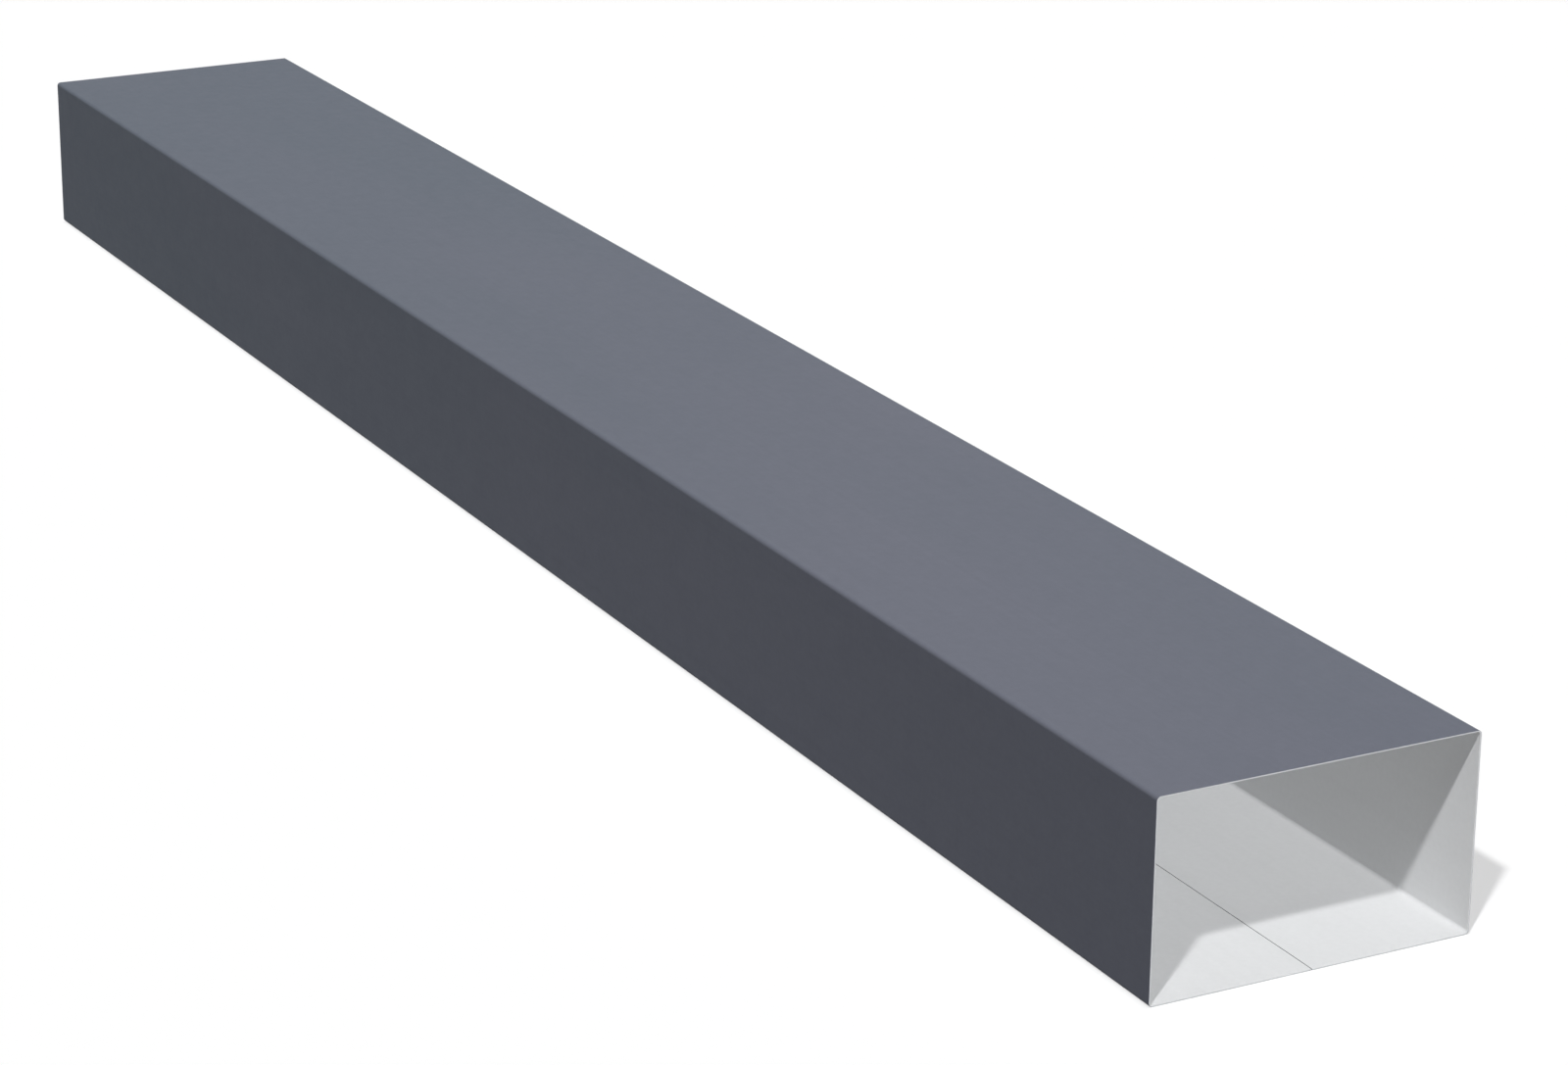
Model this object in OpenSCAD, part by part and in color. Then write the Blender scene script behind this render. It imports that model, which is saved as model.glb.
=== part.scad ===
// Rectangular downpipe: one strip of coated sheet, folded into a box section
// whose two long edges meet in a butt seam along the middle of a wide wall.
// It lies on the seam wall, with its length along X, its width along Y and Z up.
// The origin is at the middle of the face that it lies on.

/* [Pipe] */
// Outside width of the section
pipe_w = 120; // [80:1:200]
// Outside height of the section
pipe_h = 70; // [50:1:150]
// Length between the two square-cut ends
pipe_l = 1000; // [500:10:4000]

/* [Sheet] */
// Thickness of the sheet with its coats
sheet_t = 0.5; // [0.4:0.05:1]
// Radius on the inside of each fold
bend_r = 1; // [0.5:0.1:3]

/* [Seam] */
// Gap left between the two edges of the strip
seam_gap = 0.3; // [0.1:0.05:0.5]
// Distance of the seam from the middle of the wall, towards +Y
seam_shift = 0; // [-20:1:20]

/* [Finish] */
// Colour of the weather coat on the outside
coat_colour = "#484c54"; // color
// Colour of the backing coat on the inside
lining_colour = "#d9dbdc"; // color

/* [Hidden] */
$fn = 64;
// Outside radius of each fold
fold_r = bend_r + sheet_t;
// Clear width and height of the waterway
clear_w = pipe_w - 2 * sheet_t;
clear_h = pipe_h - 2 * sheet_t;
// Reach of a cut past the face that it breaks through, short of the far wall
cut_past = 1;

// Rectangle about the origin with a round arc at each corner
module rounded_rectangle(w, h, r) {
    square([w - 2 * r, h], center = true);
    square([w, h - 2 * r], center = true);
    for (x = [-1, 1], y = [-1, 1])
        translate([x * (w / 2 - r), y * (h / 2 - r)]) circle(r);
}

// A section drawn in Y and Z, run along X on both sides of the origin
module run_along(l) {
    rotate([90, 0, 90]) linear_extrude(l, center = true) children();
}

// Space inside the folded walls, open at both ends
module waterway() {
    run_along(pipe_l + 2 * cut_past)
        rounded_rectangle(clear_w, clear_h, bend_r);
}

// Slot between the strip's two edges, through the seam wall only
module seam_slot() {
    slot_h = sheet_t + 2 * cut_past;
    run_along(pipe_l + 2 * cut_past)
        translate([seam_shift, (sheet_t - pipe_h) / 2])
            square([seam_gap, slot_h], center = true);
}

// The folded strip, standing on its seam wall
module downpipe() {
    translate([0, 0, pipe_h / 2])
        difference() {
            color(coat_colour)
                run_along(pipe_l) rounded_rectangle(pipe_w, pipe_h, fold_r);
            color(lining_colour) waterway();
            color(lining_colour) seam_slot();
        }
}

downpipe();
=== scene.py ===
import math

import bpy
import numpy as np
from mathutils import Matrix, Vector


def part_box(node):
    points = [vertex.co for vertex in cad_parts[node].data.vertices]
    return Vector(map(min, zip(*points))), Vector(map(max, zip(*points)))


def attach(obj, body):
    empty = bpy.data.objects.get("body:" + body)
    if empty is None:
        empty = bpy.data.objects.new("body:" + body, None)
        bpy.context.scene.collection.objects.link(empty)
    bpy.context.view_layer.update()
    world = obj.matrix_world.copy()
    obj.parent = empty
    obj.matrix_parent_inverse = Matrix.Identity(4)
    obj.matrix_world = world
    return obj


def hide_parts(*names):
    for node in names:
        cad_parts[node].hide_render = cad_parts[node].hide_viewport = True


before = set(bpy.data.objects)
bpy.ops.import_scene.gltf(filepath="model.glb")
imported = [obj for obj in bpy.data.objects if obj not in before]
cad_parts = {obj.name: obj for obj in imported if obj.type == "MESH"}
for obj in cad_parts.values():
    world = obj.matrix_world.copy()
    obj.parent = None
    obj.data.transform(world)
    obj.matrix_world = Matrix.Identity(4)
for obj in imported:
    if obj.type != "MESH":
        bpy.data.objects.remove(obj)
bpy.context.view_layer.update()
low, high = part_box("downpipe")


# the strip that is folded into the pipe, in metres
strip = {
    "sheet": 0.0005,            # thickness with both coats
    "bend": 0.001,              # radius inside a fold
    "seamGap": 0.0003,          # between the two long edges
    "cornerRound": 0.00003,     # on the long edges, from the slitter
    "endRound": 0.00009,        # on the sawn ends
    "endBands": (0.0005, 0.004),    # stations near each end, ahead of the bays
    "foldSteps": 16,            # faces round a fold
    "roundSteps": 4,            # faces round a cut edge
    "bays": 25,                 # faces along the length
    "runShares": (0.004, 0.04, 0.25, 0.5, 0.75, 0.96, 0.996),   # points on a flat wall
}
outside, inside, cutFace, seamFace = range(4)   # places of the finishes on the piece


# Mid line of the section: straight runs and quarter arcs in turn, from one seam edge round to
# the other. An arc's point is its centre plus the radius along the turn angle; a run's point is
# a share of the way from one arc's end to the next arc's start. `bent` rises to 1 at mid fold.
def midLine(width, height):
    inset = strip["bend"] + strip["sheet"]
    radius = strip["bend"] + strip["sheet"] / 2
    sweep = np.linspace(0, np.pi / 2, strip["foldSteps"] + 1)
    angle = np.radians([-90, 0, 90, 180])[:, None] + sweep
    centreY = np.array([1, 1, -1, -1])[:, None] * (width / 2 - inset)
    centreZ = np.array([inset, height - inset, height - inset, inset])[:, None]
    foldY, foldZ = centreY + radius * np.cos(angle), centreZ + radius * np.sin(angle)

    seamY, seamZ = strip["seamGap"] / 2, strip["sheet"] / 2
    share = np.array(strip["runShares"])
    nextY, nextZ = np.append(foldY[1:, 0], -seamY), np.append(foldZ[1:, 0], seamZ)
    runY = foldY[:, -1:] + (nextY - foldY[:, -1])[:, None] * share
    runZ = foldZ[:, -1:] + (nextZ - foldZ[:, -1])[:, None] * share
    runAngle = np.repeat(angle[:, -1:], len(share), axis=1)
    firstY = seamY + (foldY[0, 0] - seamY) * np.append(0, share)
    level = np.zeros_like(firstY)

    y = np.concatenate([firstY, np.hstack([foldY, runY]).ravel(), [-seamY]])
    z = np.concatenate([level + seamZ, np.hstack([foldZ, runZ]).ravel(), [seamZ]])
    turn = np.concatenate([level - np.pi / 2, np.hstack([angle, runAngle]).ravel(), [1.5 * np.pi]])
    bent = np.concatenate([level, np.tile(np.append(np.sin(2 * sweep), 0 * share), 4), [0]])
    return y, z, turn, bent


# Ring round the sheet's own section: out along the mid line on the outside of the sheet, round the
# far seam edge, back on the inside and round the near edge. A point is the mid line's point, moved
# by `off` along the way out of the wall and by `along` on the strip. Round a seam edge, off and
# along follow the cosine and sine of an angle that turns half a circle, in two quarter arcs.
def sheetRing(width, height):
    y, z, turn, bent = midLine(width, height)
    run = np.append(0, np.cumsum(np.hypot(np.diff(y), np.diff(z))))
    half, corner, steps = strip["sheet"] / 2, strip["cornerRound"], strip["roundSteps"]
    quarter = np.linspace(0, np.pi / 2, steps + 1)
    way = np.concatenate([quarter[1:], np.pi / 2 + quarter[:-1]])
    centre = np.repeat([half - corner, corner - half], steps)
    count, cap = len(y), len(way)
    order = np.arange(count)
    heldBack = np.zeros(count)
    heldBack[[0, -1]] = corner, -corner

    place = np.concatenate([order, np.full(cap, count - 1), order[::-1], np.zeros(cap, int)])
    ring = {name: row[place] for name, row in dict(y=y, z=z, turn=turn, bent=bent, run=run).items()}
    off = np.append(np.full(count, half), centre + corner * np.cos(way))
    ring["off"] = np.append(off, -off)
    ring["along"] = np.concatenate(
        [heldBack, corner * (np.sin(way) - 1), heldBack[::-1], corner * (1 - np.sin(way))])
    ring["kind"] = np.repeat(   # each coat runs on over its rounded corners
        [outside, seamFace, inside, seamFace, outside],
        [count - 1 + steps, 1, count - 1 + cap, 1, steps])
    return ring, count, cap


# Stations along X: both ends are rounded, so near an end the sheet thins on each side by the
# fillet's depth, radius times (1 - cos a), at radius times (1 - sin a) from the end.
def stations(length):
    radius, bands = strip["endRound"], np.array(strip["endBands"])
    a = np.linspace(np.pi / 2, 0, strip["roundSteps"] + 1)
    fromEnd = np.append(radius * (1 - np.sin(a)), bands)
    drawIn = np.append(radius * (1 - np.cos(a)), 0 * bands)
    inner = np.linspace(-length / 2, length / 2, strip["bays"] + 1)[1:-1]
    x = np.concatenate([fromEnd - length / 2, inner, length / 2 - fromEnd[::-1]])
    return x, np.concatenate([drawIn, inner * 0, drawIn[::-1]])


# how the strip lies on its texture map
flatMap = {
    "thinnest": 0.001,  # least width of a face, in metres, so that rounded edges hold some pixels
    "border": 0.004,    # the rest as shares of the map
    "endBand": 0.008,   # for each cut end
}


# The strip laid flat: u runs round the ring and v along X, each by the distances between points.
# The cut ends lie in bands past the strip, with u along the mid line and v across the sheet.
def laidFlat(ring, endFaces, x, y, z):
    def distance(steps):
        return np.append(0, np.cumsum(np.maximum(steps, flatMap["thinnest"])))

    border, band = flatMap["border"], flatMap["endBand"]
    u = distance(np.hypot(np.diff(y, append=y[:1]), np.diff(z, append=z[:1])))
    v = distance(np.diff(x))
    perMetre = (1 - 2 * border) / u[-1]
    start = band + 2 * border
    u, v = border + perMetre * u, start + (1 - 2 * start) * v / v[-1]
    skinU = np.stack([u[:-1], u[1:], u[1:], u[:-1]], axis=-1)
    skinV = np.stack([v[:-1], v[:-1], v[1:], v[1:]], axis=-1)[:, None]
    skin = np.stack(np.broadcast_arrays(skinU, skinV), axis=-1).reshape(-1, 2)

    endU = border + perMetre * (ring["run"] + ring["along"])
    across = border + band * (0.5 + ring["off"] / strip["sheet"])
    front, rear = np.stack([endU, 1 - across], axis=-1), np.stack([endU, across], axis=-1)
    turned = [face[::-1] for face in endFaces]
    return np.concatenate([skin, front[np.concatenate(endFaces)], rear[np.concatenate(turned)]])


# The strip's skin is the ring carried along X: point (j, i) is ring point i at station j, thinned by
# the station's depth. Each end is closed across the sheet, outer point to inner point.
def foldedStrip():
    size, middle = np.array(high) - np.array(low), (np.array(high) + np.array(low)) / 2
    ring, count, cap = sheetRing(size[1], size[2])
    x, drawIn = stations(size[0])
    around, stops = len(ring["y"]), len(x)
    off = ring["off"] * (1 - drawIn[:, None] * 2 / strip["sheet"])
    cosine, sine = np.cos(ring["turn"]), np.sin(ring["turn"])
    y = ring["y"] + off * cosine - ring["along"] * sine + middle[1]
    z = ring["z"] + off * sine + ring["along"] * cosine + low[2]
    points = np.stack(np.broadcast_arrays(x[:, None] + middle[0], y, z), axis=-1)

    i, j = np.arange(around), np.arange(stops - 1)[:, None] * around
    nextI = (i + 1) % around
    skin = np.stack([j + i, j + nextI, j + nextI + around, j + i + around], axis=-1).reshape(-1, 4)
    k, back = np.arange(count - 1), 2 * count + cap - 1
    wall = np.stack([k, k + 1, back - k - 1, back - k], axis=-1)
    farEdge, nearEdge = np.arange(count - 1, count + cap + 1), np.append(np.arange(back, around), 0)
    endFaces = [*wall, farEdge, nearEdge]
    last = (stops - 1) * around
    faces = skin.tolist() + [(face + last).tolist() for face in endFaces]
    faces += [face[::-1].tolist() for face in endFaces]
    kind = np.append(np.tile(ring["kind"], stops - 1), np.full(2 * len(endFaces), cutFace))

    mesh = bpy.data.meshes.new("folded_strip")
    mesh.from_pydata(points.reshape(-1, 3).tolist(), [], faces)
    mesh.polygons.foreach_set("material_index", kind.astype(np.int32))
    mesh.polygons.foreach_set("use_smooth", np.ones(len(faces), bool))
    bent = mesh.attributes.new("fold", "FLOAT", "POINT")
    bent.data.foreach_set("value", np.tile(ring["bent"], stops).astype(np.float32))
    unfolded = mesh.uv_layers.new(name="OFBake", do_init=False)
    uv = laidFlat(ring, endFaces, x, y[stops // 2], z[stops // 2])
    unfolded.uv.foreach_set("vector", uv.astype(np.float32).ravel())
    mesh.update()
    return mesh


piece = bpy.data.objects.new("folded_strip", foldedStrip())
bpy.context.collection.objects.link(piece)
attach(piece, "root")
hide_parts("downpipe")
print("strip folded:", len(piece.data.vertices), "points,", len(piece.data.polygons), "faces")


# screen colour to the linear numbers that a shader takes
def tone(r, g, b):
    c = np.array([r, g, b]) / 255
    c = np.where(c <= 0.04045, c / 12.92, ((c + 0.055) / 1.055) ** 2.4)
    return (*c.tolist(), 1)


# one node with its settings and plain input values
def add(tree, kind, inputs=(), **settings):
    node = tree.nodes.new("ShaderNode" + kind)
    for name, value in settings.items():
        setattr(node, name, value)
    for name, value in dict(inputs).items():
        node.inputs[name].default_value = value
    return node


# an empty finish: its shader, and the piece's own metres to draw on
def newFinish(name):
    finish = bpy.data.materials.new(name)
    finish.use_nodes = True
    tree = finish.node_tree
    tree.nodes.clear()
    shader = add(tree, "BsdfPrincipled")
    tree.links.new(shader.outputs["BSDF"], add(tree, "OutputMaterial").inputs["Surface"])
    return finish, tree, shader, add(tree, "TexCoord").outputs["Object"]


noiseRoughness = 0.55
noiseRange = 0.3, 0.7   # where most of the noise lies


# noise in the piece's metres, stretched by `stretch` and eased into the band lowest..highest
def grain(tree, place, stretch, scale, detail, lowest, highest):
    spread = add(tree, "Mapping", {"Scale": stretch})
    noise = add(tree, "TexNoise", {"Scale": scale, "Detail": detail, "Roughness": noiseRoughness})
    band = add(tree, "MapRange", {"To Min": lowest, "To Max": highest})
    band.inputs["From Min"].default_value, band.inputs["From Max"].default_value = noiseRange
    tree.links.new(place, spread.inputs["Vector"])
    tree.links.new(spread.outputs["Vector"], noise.inputs["Vector"])
    tree.links.new(noise.outputs["Fac"], band.inputs["Value"])
    return band.outputs["Result"]


# grain of one size every way
def mottled(tree, place, scale, detail, lowest, highest):
    return grain(tree, place, (1, 1, 1), scale, detail, lowest, highest)


# roughness that wanders a little about the finish's own level
def unevenGloss(tree, shader, place, look, detail):
    lowest, highest = look["roughness"] - look["glossSpread"], look["roughness"] + look["glossSpread"]
    gloss = mottled(tree, place, look["glossScale"], detail, lowest, highest)
    tree.links.new(gloss, shader.inputs["Roughness"])


# one sum on numbers and sockets
def maths(tree, operation, *values):
    node = add(tree, "Math", operation=operation)
    for socket, value in zip(node.inputs, values):
        if isinstance(value, (int, float)):
            socket.default_value = value
        else:
            tree.links.new(value, socket)
    return node.outputs["Value"]


# one colour turned into another by a share from 0 to 1
def blendTones(tree, share, first, second):
    node = add(tree, "Mix", data_type="RGBA")
    tree.links.new(share, node.inputs["Factor"])
    node.inputs[6].default_value, node.inputs[7].default_value = first, second   # its two colours
    return node.outputs[2]


# a colour made lighter or darker by a factor
def shaded(tree, colour, factor):
    level = add(tree, "HueSaturation")
    tree.links.new(colour, level.inputs["Color"])
    tree.links.new(factor, level.inputs["Value"])
    return level.outputs["Color"]


# fine relief on a shader, from a height between 0 and 1
def relief(tree, shader, height, depth, strength):
    bump = add(tree, "Bump", {"Strength": strength, "Distance": depth})
    tree.links.new(height, bump.inputs["Height"])
    tree.links.new(bump.outputs["Normal"], shader.inputs["Normal"])


# weather coat on the outside of the strip
coat = {
    "backTone": tone(100, 106, 116),
    "frontTone": tone(108, 111, 122),
    "toneSpan": (-0.45, 0.35),      # along X, from one tone to the other
    "drift": 0.3,                   # how far the change of tone wanders
    "driftStretch": (1, 4, 4),
    "driftScale": 3.0,
    "mottleScale": 420,
    "mottle": 0.02,
    "lineStretch": (2, 600, 600),   # roller lines run along the pipe
    "lines": 0.015,
    "roughness": 0.62,
    "glossScale": 160,
    "glossSpread": 0.04,
    "specular": 0.05,
    "foldLift": 0.015,              # lighter over a fold, most at mid fold
    "peelScale": 1600,              # fine orange peel
    "peel": 0.00003,
    "peelStrength": 0.35,
}


def weatherCoat():
    finish, tree, shader, place = newFinish("weather_coat")
    axes = add(tree, "SeparateXYZ")
    tree.links.new(place, axes.inputs["Vector"])
    along = add(tree, "MapRange", {"From Min": coat["toneSpan"][0], "From Max": coat["toneSpan"][1]})
    tree.links.new(axes.outputs["X"], along.inputs["Value"])
    drift = grain(tree, place, coat["driftStretch"], coat["driftScale"], 2, -coat["drift"], coat["drift"])
    share = maths(tree, "ADD", along.outputs["Result"], drift)
    base = blendTones(tree, share, coat["backTone"], coat["frontTone"])

    mottle = mottled(tree, place, coat["mottleScale"], 4, 1 - coat["mottle"], 1 + coat["mottle"])
    rollerLines = grain(tree, place, coat["lineStretch"], 1.0, 3, 1 - coat["lines"], 1 + coat["lines"])
    fold = add(tree, "Attribute", attribute_name="fold")
    lift = maths(tree, "MULTIPLY_ADD", fold.outputs["Fac"], coat["foldLift"], 1)
    factor = maths(tree, "MULTIPLY", maths(tree, "MULTIPLY", mottle, rollerLines), lift)
    tree.links.new(shaded(tree, base, factor), shader.inputs["Base Color"])

    unevenGloss(tree, shader, place, coat, 3)
    shader.inputs["Specular IOR Level"].default_value = coat["specular"]
    peel = mottled(tree, place, coat["peelScale"], 2, 0, 1)
    relief(tree, shader, peel, coat["peel"], coat["peelStrength"])
    return finish


# thin backing coat on the inside of the strip
lining = {
    "tone": tone(213, 214, 215),
    "thinTone": tone(211, 212, 213),    # where the roller left less
    "lineStretch": (1.5, 260, 260),
    "lineDepth": 0.00001,
    "lineStrength": 0.2,
    "mottleScale": 520,
    "mottle": 0.015,
    "roughness": 0.6,
    "glossScale": 200,
    "glossSpread": 0.05,
    "specular": 0.2,
    "chalk": 0.7,                       # spread of the diffuse light, as on a dry matt primer
}


def backingCoat():
    finish, tree, shader, place = newFinish("backing_coat")
    rollerLines = grain(tree, place, lining["lineStretch"], 1.0, 3, 0, 1)
    base = blendTones(tree, rollerLines, lining["tone"], lining["thinTone"])
    mottle = mottled(tree, place, lining["mottleScale"], 4, 1 - lining["mottle"], 1 + lining["mottle"])
    tree.links.new(shaded(tree, base, mottle), shader.inputs["Base Color"])
    unevenGloss(tree, shader, place, lining, 3)
    shader.inputs["Specular IOR Level"].default_value = lining["specular"]
    shader.inputs["Diffuse Roughness"].default_value = lining["chalk"]
    relief(tree, shader, rollerLines, lining["lineDepth"], lining["lineStrength"])
    return finish


# bare zinc and steel on the two sawn ends
edge = {
    "tone": tone(206, 208, 211),
    "dullTone": tone(193, 195, 198),
    "sawScale": 2600,
    "sawDepth": 0.00001,
    "sawStrength": 0.3,
    "roughness": 0.5,
    "glossScale": 1800,
    "glossSpread": 0.1,
    "metallic": 0.2,
}


def cutEdge():
    finish, tree, shader, place = newFinish("cut_edge")
    sawMarks = mottled(tree, place, edge["sawScale"], 3, 0, 1)
    base = blendTones(tree, sawMarks, edge["tone"], edge["dullTone"])
    tree.links.new(base, shader.inputs["Base Color"])
    unevenGloss(tree, shader, place, edge, 2)
    shader.inputs["Metallic"].default_value = edge["metallic"]
    relief(tree, shader, sawMarks, edge["sawDepth"], edge["sawStrength"])
    return finish


# slit edges that face each other in the seam, toned dark as painted shade so that the narrow gap reads
# dark, in uneven streaks along the pipe
seam = {
    "tone": tone(112, 113, 116),
    "deepShadeTone": tone(94, 95, 97),
    "shadeStreakStretch": (0.3, 1, 1),
    "shadeStreakScale": 900,
    "roughness": 0.85,
    "glossScale": 1200,
    "glossSpread": 0.08,
    "specular": 0.1,
}


def seamEdge():
    finish, tree, shader, place = newFinish("seam_edge")
    # painted shade: the seam faces are toned between two dark greys, in streaks, so that the gap looks
    # shaded
    shadeStreaks = grain(tree, place, seam["shadeStreakStretch"], seam["shadeStreakScale"], 3, 0, 1)
    tree.links.new(blendTones(tree, shadeStreaks, seam["tone"], seam["deepShadeTone"]), shader.inputs["Base Color"])
    unevenGloss(tree, shader, place, seam, 2)
    shader.inputs["Specular IOR Level"].default_value = seam["specular"]
    return finish


finishes = {outside: weatherCoat(), inside: backingCoat(), cutFace: cutEdge(), seamFace: seamEdge()}
for finishPlace in sorted(finishes):
    piece.data.materials.append(finishes[finishPlace])
print("finishes:", [material.name for material in piece.data.materials])


# rays that show the white ground: straight to the camera, or by way of gloss or glass
def showsGround(tree):
    path = add(tree, "LightPath")
    glossy = maths(tree, "MAXIMUM", path.outputs["Is Camera Ray"], path.outputs["Is Glossy Ray"])
    return maths(tree, "MAXIMUM", glossy, path.outputs["Is Transmission Ray"])


# white floor, a hair below the pipe, and the white all round
ground = {
    "size": 30.0,
    "drop": 0.00005,
    "white": 1.0,
    "bounce": 0.12,             # its tone for the light that it throws back on the pipe
    "contactReach": 0.0025,     # how far out from the pipe the contact shade shows
    "contactDepth": 0.2,
    "sky": 0.044,               # light from all round
}


def floorPaint():
    paint = bpy.data.materials.new("floor_paint")
    paint.use_nodes = True
    tree = paint.node_tree
    tree.nodes.clear()
    white, dim, depth = ground["white"], ground["bounce"], ground["contactDepth"]
    base = blendTones(tree, showsGround(tree), (dim, dim, dim, 1), (white, white, white, 1))
    contact = add(tree, "AmbientOcclusion", {"Distance": ground["contactReach"]})
    shade = maths(tree, "MULTIPLY_ADD", contact.outputs["AO"], depth, 1 - depth)
    shader = add(tree, "BsdfDiffuse")
    tree.links.new(shaded(tree, base, shade), shader.inputs["Color"])
    tree.links.new(shader.outputs["BSDF"], add(tree, "OutputMaterial").inputs["Surface"])
    return paint


def layFloor():
    corners = np.array([(-1, -1), (1, -1), (1, 1), (-1, 1)]) * ground["size"] / 2
    level = np.full((4, 1), low[2] - ground["drop"])
    mesh = bpy.data.meshes.new("floor")
    mesh.from_pydata(np.hstack([corners, level]).tolist(), [], [(0, 1, 2, 3)])
    mesh.materials.append(floorPaint())
    floor = bpy.data.objects.new("floor", mesh)
    bpy.context.collection.objects.link(floor)


def whiteAllRound():
    world = bpy.data.worlds.new("studio")
    bpy.context.scene.world = world
    world.use_nodes = True
    tree = world.node_tree
    tree.nodes.clear()
    sky = add(tree, "Background", {"Color": (1, 1, 1, 1)})
    reach = add(tree, "MapRange", {"To Min": ground["sky"], "To Max": 1.0})
    tree.links.new(showsGround(tree), reach.inputs["Value"])
    tree.links.new(reach.outputs["Result"], sky.inputs["Strength"])
    tree.links.new(sky.outputs["Background"], add(tree, "OutputWorld").inputs["Surface"])


layFloor()
whiteAllRound()
print("floor laid")


# each sun's light on faces square to X, Y and Z, as the share of white that a white face would show
suns = {
    "key": {"light": (0.185, -0.213, 0.347), "spread": 2.7, "shadow": True},
    "top": {"light": (0.0, -0.005, 0.586), "spread": 20.0, "shadow": False},
    "front": {"light": (0.45, -0.048, 0.011), "spread": 20.0, "shadow": False},
    "back": {"light": (-0.27, 0.4, 0.0), "spread": 4.0, "shadow": True},
}
sunDistance = 3.0


def hangSun(name, sun):
    light = np.array(sun["light"])
    level = np.linalg.norm(light)
    lamp = bpy.data.lights.new(name, "SUN")
    lamp.energy = math.pi * level
    lamp.angle = math.radians(sun["spread"])
    lamp.use_shadow = sun["shadow"]
    holder = bpy.data.objects.new(name, lamp)
    bpy.context.collection.objects.link(holder)
    z = light / level                   # a sun shines along its own -Z
    x = np.cross((0, 0, 1), z)
    x /= np.linalg.norm(x)
    turn = Matrix(np.stack([x, np.cross(z, x), z], axis=1).tolist()).to_4x4()
    holder.matrix_world = Matrix.Translation((z * sunDistance).tolist()) @ turn


# small lamp low before the open end, in metres and watts, which evens out the light on the inner walls
mouthLamp = {"ahead": 0.1, "height": 0.01, "size": 0.02, "watts": 0.084}


def setMouthLamp():
    lamp = bpy.data.lights.new("mouth", "POINT")
    lamp.energy, lamp.shadow_soft_size, lamp.use_shadow = mouthLamp["watts"], mouthLamp["size"], False
    holder = bpy.data.objects.new("mouth", lamp)
    bpy.context.collection.objects.link(holder)
    holder.location = high[0] + mouthLamp["ahead"], (low[1] + high[1]) / 2, low[2] + mouthLamp["height"]
    holder.visible_camera = holder.visible_glossy = False
    litByMouth = bpy.data.collections.new("lit_by_mouth")   # the pipe, and not the floor
    litByMouth.objects.link(piece)
    holder.light_linking.receiver_collection = litByMouth


for name, sun in suns.items():
    hangSun(name, sun)
setMouthLamp()
print("lamps:", sorted(suns), "and one at the mouth")


# camera at the viewing angle of the photo: degrees, metres, and millimetres for the lens and sensor
eye = {
    "azimuth": 61.9671,
    "elevation": 19.5124,
    "roll": 0.5464,
    "spot": (1.53039, -0.7365, 0.58815),
    "lens": 101.6036,
    "sensor": 36.0,
    "clip": (0.05, 60),
}


def placeCamera():
    a, e, r = (math.radians(eye[k]) for k in ("azimuth", "elevation", "roll"))
    ahead = np.array([-math.sin(a) * math.cos(e), math.cos(a) * math.cos(e), -math.sin(e)])
    level = np.array([math.cos(a), math.sin(a), 0])
    upright = np.cross(level, ahead)
    right = math.cos(r) * level + math.sin(r) * upright
    up = math.cos(r) * upright - math.sin(r) * level
    lens = bpy.data.cameras.new("camera")
    lens.sensor_width, lens.sensor_fit, lens.lens = eye["sensor"], "HORIZONTAL", eye["lens"]
    lens.clip_start, lens.clip_end = eye["clip"]
    camera = bpy.data.objects.new("camera", lens)
    bpy.context.collection.objects.link(camera)
    turn = Matrix(np.stack([right, up, -ahead], axis=1).tolist()).to_4x4()
    camera.matrix_world = Matrix.Translation(eye["spot"]) @ turn
    bpy.context.scene.camera = camera


placeCamera()
bpy.context.scene.view_settings.view_transform = "Standard"
print("camera placed")

bpy.context.view_layer.update()
